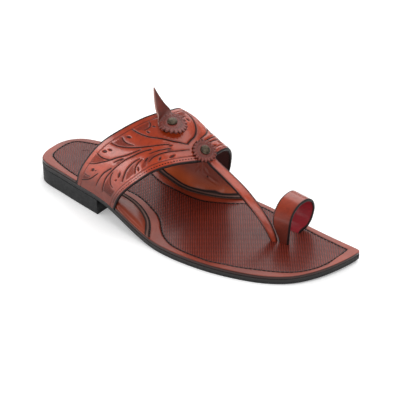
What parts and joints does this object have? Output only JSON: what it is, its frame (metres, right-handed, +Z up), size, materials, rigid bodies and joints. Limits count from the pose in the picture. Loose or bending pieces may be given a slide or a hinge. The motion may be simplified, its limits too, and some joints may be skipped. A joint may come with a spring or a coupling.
{
  "type": "kolhapuri sandal",
  "caption": "Flat open leather sandal for the right foot: broad tooled instep band, twisted thong, loop for the big toe, curled horn ornament on a toothed rosette, low rubber heel.",
  "frame": {"origin": "on the floor under the middle of the sandal's bounding box", "axes": "+X from the heel to the toe, +Y to the inner (big toe) side, +Z up"},
  "size_m": [0.28, 0.1001, 0.1091],
  "materials": {
    "rubber": "matte black rubber",
    "footbed_leather": "embossed, waxed reddish brown",
    "ear_leather": "smooth, polished reddish brown",
    "strap_leather": "tooled, glossy orange brown with dark edges",
    "trim_leather": "dull dark red brown",
    "bronze": "dull dark bronze"
  },
  "bodies": {
    "root": {"heel": "rubber", "outsole": "rubber", "footbed": "footbed_leather", "ear_lateral": "ear_leather", "ear_medial": "ear_leather", "upper": "strap_leather", "toe_loop": "strap_leather", "rosette_horn": "trim_leather", "rosette_front": "trim_leather", "rivet_rear": "bronze", "rivet_front": "bronze"}
  },
  "joints": []
}
